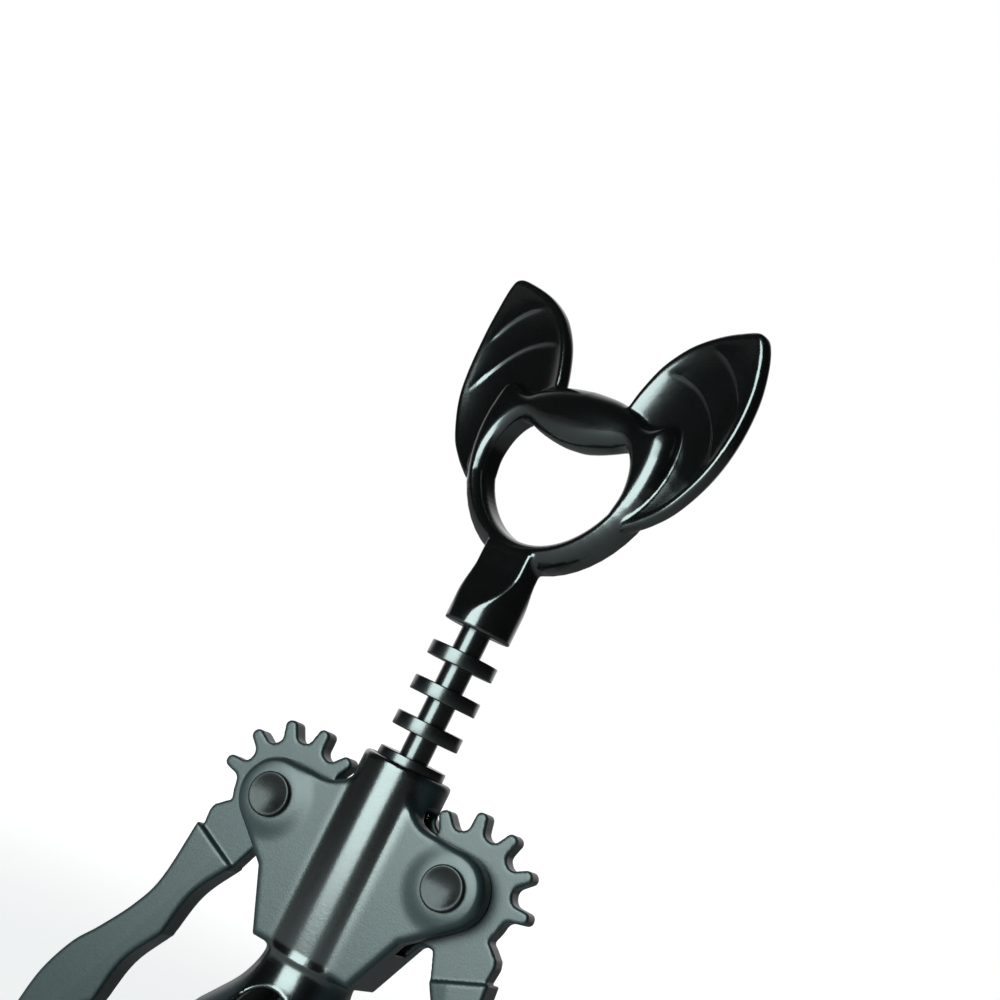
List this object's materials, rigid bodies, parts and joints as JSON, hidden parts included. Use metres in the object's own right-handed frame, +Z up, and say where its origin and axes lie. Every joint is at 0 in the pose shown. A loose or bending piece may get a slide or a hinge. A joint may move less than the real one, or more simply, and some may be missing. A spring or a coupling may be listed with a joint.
{
  "type": "winged corkscrew",
  "caption": "Black winged corkscrew whose geared levers lift a toothed rack and worm, with a pointed-ear ring on top that opens crown caps.",
  "frame": {"origin": "centre of the bell's mouth, on the plane of its rim", "axes": "+Z up the worm's axis, levers along X, -Y the front, where the rivet heads are"},
  "size_m": [0.0992, 0.036, 0.1836],
  "materials": {
    "black_coat": "satin black coating on die-cast metal",
    "rivet": "blackened, flat polished head",
    "worm_coat": "smooth dark low-friction coating",
    "steel": "plain turned steel",
    "liner": "moulded, matte",
    "washer_plastic": "thin sheet, matte"
  },
  "bodies": {
    "frame": {"frame": "black_coat", "bell_liner": "liner", "left_pivot_rivet": "rivet", "right_pivot_rivet": "rivet", "left_rivet_burr": "rivet", "right_rivet_burr": "rivet", "left_lever_washers": "washer_plastic", "right_lever_washers": "washer_plastic"},
    "rack": {"rack_sleeve": "black_coat"},
    "spindle": {"opener_head": "black_coat", "head_pin": "steel", "worm": "worm_coat", "worm_collar": "steel", "thrust_washer": "steel"},
    "left_lever": {"left_lever": "black_coat"},
    "right_lever": {"right_lever": "black_coat"}
  },
  "joints": [
    {"name": "rack_slide", "type": "slide", "parent": "frame", "child": "rack", "axis": [0, 0, 1], "range_m": [-0.0263, 0.0039]},
    {"name": "spindle_turn", "type": "hinge", "parent": "rack", "child": "spindle", "pos_m": [0, 0, 0.1], "axis": [0, 0, 1], "continuous": true},
    {"name": "left_lever_pivot", "type": "hinge", "parent": "frame", "child": "left_lever", "pos_m": [-0.019, 0, 0.074], "axis": [0, 1, 0], "range_deg": [-17, 113]},
    {"name": "right_lever_pivot", "type": "hinge", "parent": "frame", "child": "right_lever", "pos_m": [0.019, 0, 0.074], "axis": [0, -1, 0], "range_deg": [-17, 113]}
  ],
  "couplings": [
    {"joint": "left_lever_pivot", "follows": "rack_slide", "rad_per_m": -74.8},
    {"joint": "right_lever_pivot", "follows": "rack_slide", "rad_per_m": -74.8}
  ]
}
